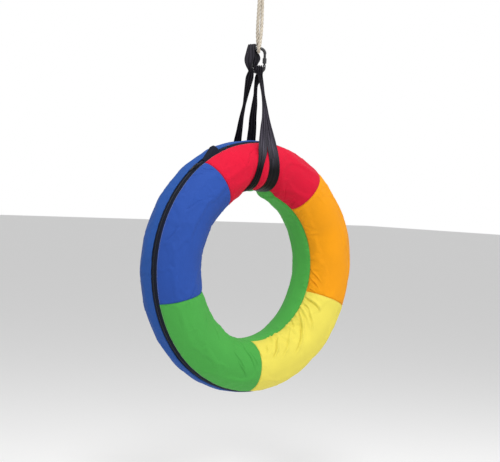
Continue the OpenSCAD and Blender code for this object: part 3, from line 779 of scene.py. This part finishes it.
def blow_up(rest, normals, U, S, strip):
    """Cloth simulation: slack cloth held at its seams and under the slings, blown up from inside."""
    rows, cols = U.shape
    o = new_mesh("cover_cloth", rest, grid_faces(rows, cols, True, True)[:, ::-1], "tape")
    seam_rows = np.isin(np.arange(cols), [0] + list(np.cumsum([r[3] for r in STRIPS])[:-1]))
    held = np.zeros((rows, cols), bool)
    held[:, seam_rows | (strip == ZIP_STRIP)] = True
    panel_rows = (strip == FRONT_STRIP) | (strip == BACK_STRIP)
    seam_cols = np.arange(rows) % (ROUND // 5) == 0
    held[np.ix_(seam_cols, panel_rows)] = True
    a = wrap_angle(S % PERIMETER)
    for name in SLINGS:
        away = np.abs(turn_gap(U, wrap_u(name, a))) * HELD_RING_R
        held |= (away < HELD_HALF) & (a > WRAP_FROM - HELD_PAST) & (a < WRAP_TO + HELD_PAST)
    group = o.vertex_groups.new(name="held")
    group.add(np.flatnonzero(held).tolist(), 1.0, "REPLACE")
    mod = o.modifiers.new("cloth", "CLOTH")
    for setting, value in CLOTH_SETTINGS.items():
        setattr(mod.settings, setting, value)
    mod.settings.effector_weights.gravity = 0
    mod.collision_settings.use_collision = False
    scene = bpy.context.scene
    mod.point_cache.frame_start, mod.point_cache.frame_end = 1, SIM_FRAMES
    scene.frame_start, scene.frame_end = 1, SIM_FRAMES
    for f in range(1, SIM_FRAMES + 1):
        scene.frame_set(f)
    view = o.evaluated_get(bpy.context.evaluated_depsgraph_get())
    moved = np.empty(rows * cols * 3)
    view.data.vertices.foreach_get("co", moved)
    moved = moved.reshape(rows, cols, 3) - rest
    bpy.data.objects.remove(o)
    scene.frame_set(1)
    out = np.sum(moved * normals, axis=-1, keepdims=True)
    side = moved - out * normals
    size = np.linalg.norm(side, axis=-1, keepdims=True)
    side = side * np.minimum(1, SIDE_CAP / np.maximum(size, 1e-9))
    most = np.where(strip == BACK_STRIP, BACK_CAP, OUT_CAP)[None, :, None]
    return rest + SIM_SHARE * (np.clip(out, -IN_CAP, most) * normals + side)


TURN_IN = 0.0035  # how deep each piece's edges are turned into its seams


def patch(name, grid, u, material, slot, node):
    """One piece of the cover: its edges are turned in, as at a seam."""
    n = out_normals(grid, u)
    body, n = (np.pad(p, ((1, 1), (1, 1), (0, 0)), "edge") for p in (grid, n))
    turned = np.zeros(body.shape[:2])
    turned[[0, -1]] += TURN_IN
    turned[:, [0, -1]] += TURN_IN
    body -= n * turned[..., None]
    middle_lines = lengths(body[:, body.shape[1] // 2]), lengths(body[body.shape[0] // 2])
    uv = np.stack(grid_of(*middle_lines), axis=-1)
    o = ride(new_mesh(name, body, grid_faces(*body.shape[:2]), material, uv), SEAT, slot, node)


def split_cover(u, shape):
    """The cover cut along its seams into its own pieces of cloth. Gives the rows that the seams are on."""
    rows = [0] + list(np.cumsum([2 * r[3] for r in STRIPS]))
    per = len(u) // 5
    whole = np.concatenate([shape, shape[:1]], axis=0)
    turns = np.concatenate([u, u[:1] + math.tau])
    for side, k in (("front", FRONT_STRIP), ("back", BACK_STRIP)):
        for i, colour in enumerate(COLOURS):
            part = slice(i * per, (i + 1) * per + 1)
            patch(f"cover_{side}_{colour}", whole[part, rows[k]:rows[k + 1] + 1], turns[part], colour,
                  colour + "_fabric", f"{side}_panel_{colour}")
    for name, k, colour in (("inner", 1, "green"), ("outer", 3, "blue")):
        patch(f"cover_{name}_band", whole[:, rows[k]:rows[k + 1] + 1], turns, "band_" + colour,
              colour + "_fabric", name + "_band")
    return rows


u_cols, cover = make_cover()
rows = split_cover(u_cols, cover)


TUBE_COLUMNS, TUBE_ROWS = 240, 60
TUBE_LIFT = -0.0075  # the rubber lies this far inside the cover


def make_tube():
    """The rubber tube inside, pressed in under the slings with its cover."""
    u = full_turn(TUBE_COLUMNS)
    s = np.linspace(0, PERIMETER, TUBE_ROWS, endpoint=False)
    U, S = grid_of(u, s)
    grid = surface(U, S, TUBE_LIFT)
    uv = np.stack([U * RING_R, S], axis=-1)
    faces = grid_faces(TUBE_COLUMNS, TUBE_ROWS, True, True)[:, ::-1]
    o = new_mesh("tube_rubber", grid, faces, "rubber", uv)
    ride(o, SEAT, "tube_rubber", "inner_tube")


make_tube()


# ---------- slings ----------

WEB_WIDTH = 0.050
WEB_THICK = 0.0015
ACROSS = 33  # points across the webbing
STEP = 0.005  # about how far apart its rows are
SPREAD = 0.28  # length over which a leg turns from the carabiner's direction to the ring's
LANDING = 0.05  # length over which the folds settle on to the tube
SMOOTH_NEAR, SMOOTH_TIMES = 0.035, 12  # smoothing where the webbing meets the tube
FOLD_TIMES = 24  # halvings in the search for the folds' depth
UNDER_DEPTH, UNDER_RUN = 0.0035, 0.004  # how deep an edge turns under, and over what width
WRAP_STEP = 4  # degrees between a sling's places on the tube


def folded(half):
    """Webbing gathered to a width of two halves: lengthwise folds, as long across as it is flat."""
    t = np.linspace(-1, 1, ACROSS)
    wave = np.sin(3 * math.pi * t + 0.7) + 0.3 * np.sin(4.2 * math.pi * t + 2.1)
    low, high = 0.0, 0.02
    for _ in range(FOLD_TIMES):
        depth = (low + high) / 2
        length = np.sum(np.hypot(np.diff(half * t), np.diff(depth * wave)))
        low, high = (depth, high) if length < WEB_WIDTH else (low, depth)
    return half * t, depth * wave


def turned_under(half):
    """Webbing with one edge turned under itself: a flat face, and a second layer behind part of it."""
    q = np.linspace(0, WEB_WIDTH, ACROSS)
    past = np.clip(q - 2 * half, 0, None)
    x = np.where(q < 2 * half, q - half, half - past)
    y = -UNDER_DEPTH * np.clip(past / UNDER_RUN, 0, 1) + 0.0012 * np.sin(q * 170)
    return x, y


def leg(stations, top_y, end_y, top_z, end_z):
    """A leg's places: each one's depth is on the straight line from the carabiner to the tube."""
    slope = (end_y - top_y) / (top_z - end_z)
    return [([x, top_y + slope * (top_z - z), RING_Z + z], half) for x, z, half in stations]


def wrap(halves):
    """The course on the tube, from front to back, with a half width for each angle of the table."""
    angles = np.arange(WRAP_FROM, WRAP_TO + 0.1, WRAP_STEP)
    return [(("tube", float(a)), float(np.interp(a, *halves))) for a in angles]


def tube_point(name, a, t_half, lift):
    """A point of the webbing on the tube, t_half metres across from its course's middle."""
    before, after = wrap_u(name, a - 1), wrap_u(name, a + 1)
    rho = RING_R - TUBE_R * math.sin(math.radians(a))
    lean = math.atan2((after - before) * rho, math.radians(2) * TUBE_R)
    u = wrap_u(name, a) - t_half * math.cos(lean) / rho
    s = wrap_s(a) + t_half * math.sin(lean)
    return surface(u, s, lift)


def strap_course(side, stations):
    """Small steps through the stations: middle line, half widths, folds, and angles on the tube."""
    places = [place for place, *_ in stations]
    angles = [place[1] if place[0] == "tube" else math.nan for place in places]
    values = np.array([(half, *(fold or [0.0]), a) for (_, half, *fold), a in zip(stations, angles)])
    p = np.array([place if math.isnan(a) else tube_point(side, a, 0.0, WEB_THICK)
                  for place, a in zip(places, angles)])
    ext = np.vstack([p[-1:], p, p[:2]])
    line, at = [], []
    for i, (here, there) in enumerate(zip(values, np.roll(values, -1, 0))):
        count = max(1, int(round(np.linalg.norm(p[i] - ext[i + 2]) / STEP)))
        for t in np.arange(count) / count:
            line.append(catmull(*ext[i:i + 4], t))
            at.append(here * (1 - t) + there * t if t else here)
    return np.array(line), *np.array(at).T


def nearest(count, where):
    """Distance along a closed line of points from each point to the nearest of some of them."""
    away = np.abs(np.arange(count)[:, None] - where[None])
    return np.min(np.minimum(away, count - away), axis=1) * STEP


def strap(side, stations):
    """A closed loop of webbing through its stations: plain places, or places on the tube."""
    line, half_at, flat_at, angle_at = strap_course(side, stations)
    count = len(line)
    tangent = unit(np.roll(line, -1, 0) - np.roll(line, 1, 0))
    ring_way, bow_way = np.array([1.0, 0, 0]), np.array(BOW)
    grid = np.empty((count, ACROSS, 3))
    touching = ~np.isnan(angle_at)
    gap = nearest(count, np.flatnonzero(touching))
    for i in range(count):
        x, y = folded(half_at[i])
        if flat_at[i] > 0:
            x2, y2 = turned_under(half_at[i])
            x, y = x + (x2 - x) * flat_at[i], y + (y2 - y) * flat_at[i]
        if touching[i]:
            lift = WEB_THICK * 0.9 + np.maximum(0, y - y.min()) * 0.55
            grid[i] = [tube_point(side, angle_at[i], v, h) for v, h in zip(x, lift)]
            continue
        mix = 1 - ramp(gap[i] / SPREAD)
        w = ring_way * mix + bow_way * (1 - mix)
        w = w - tangent[i] * np.dot(w, tangent[i])
        w /= np.linalg.norm(w)
        settled = ramp(1 - gap[i] / LANDING) * 0.5
        grid[i] = line[i] + x[:, None] * w + (y - y.min() * settled)[:, None] * np.cross(w, tangent[i])
    leaving = np.flatnonzero(touching != np.roll(touching, 1))
    near_edge = nearest(count, leaving) < SMOOTH_NEAR
    for k in range(SMOOTH_TIMES):
        blend = 0.25 * np.roll(grid, 1, 0) + 0.5 * grid + 0.25 * np.roll(grid, -1, 0)
        use = near_edge | (~touching & (k < 2))
        grid = np.where(use[:, None, None], blend, grid)
    web_mesh(side, grid)


# Painted sheen on the front and back legs: heights above the ring's middle, and how much paler highlight is
# painted there, 0 to 1
FRONT_SHEEN = [0.352, 0.392, 0.43, 0.55, 0.60, 0.64, 0.69, 0.71], [0.0, 0.45, 1.0, 0.85, 0.35, 0.6, 0.6, 0.3]
BACK_SHEEN = [0.38, 0.42, 0.50, 0.56, 0.66], [0.0, 0.10, 0.12, 0.25, 0.2]


def wear_and_sheen(line):
    """How much painted sheen the webbing has along its line: the front legs most, the courses on the tube
    hardly.
    """
    y, z = line[:, 1], line[:, 2] - RING_Z
    front = np.clip((-y - 0.004) / 0.03, 0, 1)
    # Painted sheen: a little paler highlight on the bundle's top as well
    top = np.clip((z - 0.715) / 0.02, 0, 1) * 0.08
    return front * np.interp(z, *FRONT_SHEEN) + top + np.interp(z, *BACK_SHEEN) * (1 - front)


def web_mesh(side, grid):
    """The webbing's two faces and edges from its middle surface."""
    rows, cols = grid.shape[:2]
    normal = grid_normals(grid, closed_rows=True)
    off = WEB_THICK / 2
    loop = np.concatenate([grid + normal * off, (grid - normal * off)[:, ::-1]], axis=1)
    along = lengths(grid[:, cols // 2])
    across = np.linspace(0, WEB_WIDTH, cols)
    across = np.concatenate([across, across[::-1]])
    uv = np.stack(np.broadcast_arrays(across[None], along[:, None]), axis=-1)
    faces = grid_faces(rows, 2 * cols, wrap_rows=True, wrap_cols=True)
    o = new_mesh(f"sling_{side}_webbing", loop, faces, "webbing", uv)
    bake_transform(o)
    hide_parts("sling_" + side)
    # Painted sheen: each point gets the amount of paler highlight painted at its height along the webbing.
    painted_sheen = o.data.attributes.new("painted_sheen", "FLOAT", "POINT")
    painted_sheen.data.foreach_set("value", np.broadcast_to(wear_and_sheen(grid.mean(axis=1))[:, None], loop.shape[:2]).ravel())


def mm(stations):
    """Places given in millimetres, in metres."""
    return [tuple(v * 0.001 for v in s) for s in stations]


def over_bow(stations):
    """Places by the carabiner in millimetres: along its bow, out of its face, height, half width, fold."""
    places = []
    for x, f, z, half, *fold in stations:
        p = BOW * (x / 1000) + FACE * (f / 1000)
        places.append(([p.x, p.y, RING_Z + z / 1000], half / 1000, *fold))
    return places


def make_slings():
    """Both slings. A leg's stations are sideways place, height above the ring's middle and half width."""
    left_front = mm([(0, 692, 5), (2, 650, 4), (3, 618, 4.5), (0, 582, 5.5), (-8, 535, 8), (-17, 503, 11),
                     (-29, 453, 17), (-38, 420, 19), (-46, 396, 16)])
    left_back = mm([(-23, 676, 14), (-19.5, 617, 8), (-17, 582, 5), (-15.5, 534, 8), (-10.5, 486, 12),
                    (-7.5, 452, 16), (-2, 415, 20)])
    over_spine = [(-9, -7.5, 717, 12, 0.2), (-7, -8, 734, 14, 0.6), (-5, -8.5, 749, 15, 1),
                  (-19, -8, 773, 12, 1), (-23, 0, 797, 13.5, 1), (-26, 7, 787, 14, 1),
                  (-29, 9.5, 765, 16, 1), (-33, 10, 739, 17, 1), (-29, 9, 719, 13, 0.5),
                  (-23.5, 7, 703, 8.5, 0)]
    bight = [(-4, 8, 703, 8, 0), (-6, 5, 716, 10, 0), (-8, -3, 721, 11, 0)]
    stations = leg(left_front[::-1], -0.006, -0.1078, 0.699, 0.3767)
    stations += over_bow(bight + over_spine)
    stations += leg(left_back, 0.009, 0.1078, 0.699, 0.3819)
    stations += wrap(([-16, 15, 45, 90, 140, 196], [0.0125, 0.015, 0.0215, 0.0245, 0.0245, 0.0225]))[::-1]
    strap("left", stations)

    right_front = mm([(10.5, 674, 5), (10, 650, 4.5), (8, 618, 4), (8, 582, 5), (6, 535, 8), (6, 503, 11),
                      (7, 453, 19), (8, 420, 22), (8, 396, 23)])
    right_back = mm([(16.5, 680, 12), (15, 653, 6), (22.5, 620, 6), (29.5, 585, 10), (37, 537, 13),
                     (45, 505, 15), (54.5, 455, 19), (62, 415, 22)])
    bight = [(10, 9, 690, 8), (10, 9.5, 704, 10.5), (7, 8.5, 716, 10), (5.5, 0, 724, 8.5), (5, -7.5, 715, 9),
             (6, -8.5, 701, 8)]
    stations = leg(right_front[::-1], -0.008, -0.1078, 0.685, 0.3818)
    stations += over_bow(bight)
    stations += leg(right_back, 0.009, 0.1078, 0.699, 0.3755)
    stations += wrap(([-16, 40, 90, 150, 196], [0.024, 0.0245, 0.0245, 0.0245, 0.0235]))[::-1]
    strap("right", stations)


make_slings()


# ---------- zip ----------

TEETH_LINE = math.radians(8.5) * TUBE_R
GARAGE = (math.radians(113.7), math.radians(124.5))  # the pocket's ends, round the ring
TEETH, TOOTH_LONG = 900, 0.0019  # teeth on each side, and a tooth's length along the zip
RIM_R = RING_R + TUBE_R
# A tooth's offsets and heights: each reaches a little past the middle, between the other side's
TOOTH = [(0.0021, 0.0001), (0.0019, 0.0009), (0.0012, 0.0014), (0.0002, 0.0013), (-0.0005, 0.0008),
         (-0.0004, 0.0001)]
TOOTH_TOP, TOOTH_TAPER, TOOTH_SUNK = 0.001, 0.25, 0.0004
TAPE_STEPS = 721
TAPE_EDGE = [0, 0.002, 0.0075], [-0.0022, -0.0006, -0.0004]  # distances from the seam, and lifts


def make_teeth(name, side, node):
    at = full_turn(TEETH) + (side > 0) * math.pi / TEETH
    at = at[(at < GARAGE[0]) | (at > GARAGE[1])]
    n, half = len(TOOTH), TOOTH_LONG / 2 / RIM_R
    verts, faces = [], []
    for end in (-half, half):
        for off, lift in TOOTH:
            turn = at + end * (1 - TOOTH_TAPER * (lift > TOOTH_TOP))
            verts.append(surface(turn, TEETH_LINE + side * off, lift - TOOTH_SUNK))
    base = 2 * n * np.arange(len(at))
    for k in range(n - 1):
        faces += [(b + k, b + k + 1, b + n + k + 1, b + n + k)[::side] for b in base]
    faces += [tuple(b + np.arange(n))[::-side] for b in base]
    faces += [tuple(b + n + np.arange(n))[::side] for b in base]
    ride(new_mesh(name, np.stack(verts, axis=1), faces, "coil", None, False), SEAT, "zip_black", node)


def make_tape(name, side, node, start):
    edge = np.linspace(start, TEETH_LINE + side * 0.0002, 6)
    turns = np.linspace(0, math.tau, TAPE_STEPS)
    U, S = grid_of(turns, edge)
    grid = surface(U, S, np.interp(np.abs(S - start), *TAPE_EDGE))
    uv = np.stack(grid_of(turns * RIM_R, edge), axis=-1)
    o = ride(new_mesh(name, grid, grid_faces(*grid.shape[:2]), "tape", uv), SEAT, "black_tape", node)


def make_zip():
    for side, name, start in ((-1, "outer", ZIP_OUT), (1, "inner", ZIP_IN)):
        make_teeth("coil_" + name, side, "zip_teeth_" + name)
        make_tape("tape_" + name, side, "zip_tape_" + name, start)


POUCH_PEAK = 0.32  # where along the pouch it is widest
POUCH_REACH, POUCH_TALL, POUCH_MIDDLE = 0.0185, 0.0215, 0.0030
POUCH_COLUMNS, POUCH_ROWS = 29, 25


def make_garage():
    """A flared pouch over the zip's end: wide and open at one side, drawn down to the zip at the other."""
    T, W = grid_of(np.linspace(0, 1, POUCH_COLUMNS), np.linspace(-1, 1, POUCH_ROWS))
    narrow = np.clip((T - POUCH_PEAK) / (1 - POUCH_PEAK), 0, 1)
    flare = np.sqrt(np.clip(1 - ((POUCH_PEAK - np.minimum(T, POUCH_PEAK)) / 0.35) ** 2, 0, 1))
    reach = POUCH_REACH * flare - 0.0125 * narrow ** 1.3
    tall = POUCH_TALL * np.clip(T / 0.16, 0, 1) ** 0.6 * (1 - 0.80 * narrow ** 0.8)
    lift = tall * (1 - np.abs(W) ** 1.9) + 0.0004
    U = GARAGE[0] + (GARAGE[1] - GARAGE[0]) * T
    S = POUCH_MIDDLE + (TEETH_LINE - POUCH_MIDDLE) * narrow + W * reach
    top = surface(U, S, lift + 0.0003 * np.sin(W * 7 + T * 5))
    low = surface(U, S, np.full_like(lift, -0.0004))
    cells = POUCH_COLUMNS * POUCH_ROWS
    quads = grid_faces(POUCH_COLUMNS, POUCH_ROWS)
    faces = [*quads, *(quads[:, ::-1] + cells)]
    index = np.arange(cells).reshape(POUCH_COLUMNS, POUCH_ROWS)
    rim = [*index[:, 0], *index[-1, 1:], *index[-2::-1, -1], *index[0, -2:0:-1]]
    faces += [(a, b, b + cells, a + cells) for a, b in zip(rim, rim[1:] + rim[:1])]
    uv = np.stack([T * 0.075, W * 0.014], axis=-1)
    ride(new_mesh("garage_pouch", [top, low], faces, "tape", [uv, uv]), SEAT, "black_tape", "zip_garage")


make_zip()
make_garage()


# ---------- stitching ----------

STITCH_LONG, STITCH_GAP, THREAD_R = 0.0028, 0.0016, 0.00024
EDGE_STITCH = 0.0034, 0.0008, 0.00055  # the same for the row beside the zip
STITCH_AT = np.array([0, 0.12, 0.5, 0.88, 1])
STITCH_RISE = np.array([-0.0004, 0.0001, 0.00025, 0.0001, -0.0004])


def stitches(name, lines, material, slot, long=STITCH_LONG, gap=STITCH_GAP, radius=THREAD_R):
    """Rows of lockstitch: short rounded runs of thread, each dipping into the cloth at its ends."""
    verts, faces = [], []
    n = len(STITCH_AT)
    for line, lift in lines:
        along = lengths(line)
        for start in np.arange(0.002, along[-1] - 0.004, long + gap):
            at = start + STITCH_AT * long
            mid, out = (np.stack([np.interp(at, along, q) for q in p.T], axis=-1) for p in (line, lift))
            mid = mid + out * STITCH_RISE[:, None]
            across = np.cross(unit(np.gradient(mid, axis=0)), out)
            faces += list(grid_faces(3, n, first=len(verts) * 3 * n)[:, [0, 3, 2, 1]])
            verts.append([mid + across * radius, mid + out * radius, mid - across * radius])
    ride(new_mesh(name, verts, faces, material), SEAT, slot)


COVER_OUT = out_normals(cover, u_cols, True)
PER = len(u_cols) // 5  # columns to a panel


def row_line(row):
    """The closed line on the finished cover along one of its rows, and the way out of it."""
    return [np.concatenate([p[:, row], p[:1, row]]) for p in (cover, COVER_OUT)]


def column_line(column, first, last):
    column %= len(u_cols)
    return cover[column, first:last], COVER_OUT[column, first:last]


def make_stitching():
    for i, colour in enumerate(COLOURS):
        lines = []
        for column in (i * PER + 2, (i + 1) * PER - 2):
            lines += [column_line(column, rows[0] + 2, rows[1]), column_line(column, rows[2] + 2, rows[3])]
        for row in (rows[1] - 2, rows[2] + 2, rows[3] - 2):
            lines.append([p[i * PER + 2:(i + 1) * PER - 1] for p in row_line(row)])
        stitches("stitching_" + colour, lines, "thread_" + colour, colour + "_fabric")
    for band, colour, k in (("inner", "green", 1), ("outer", "blue", 3)):
        lines = [row_line(rows[k] + 2), row_line(rows[k + 1] - 2)]
        stitches(f"stitching_{band}_band", lines, "thread_" + colour, colour + "_fabric")


def make_edge_stitching():
    """The row that holds each panel to the zip, in a paler thread."""
    for i, colour in enumerate(COLOURS):
        line = [p[i * PER + 1:(i + 1) * PER] for p in row_line(rows[0] + 1)]
        stitches("edge_stitching_" + colour, [line], "edge_" + colour, colour + "_fabric", *EDGE_STITCH)


make_stitching()
make_edge_stitching()
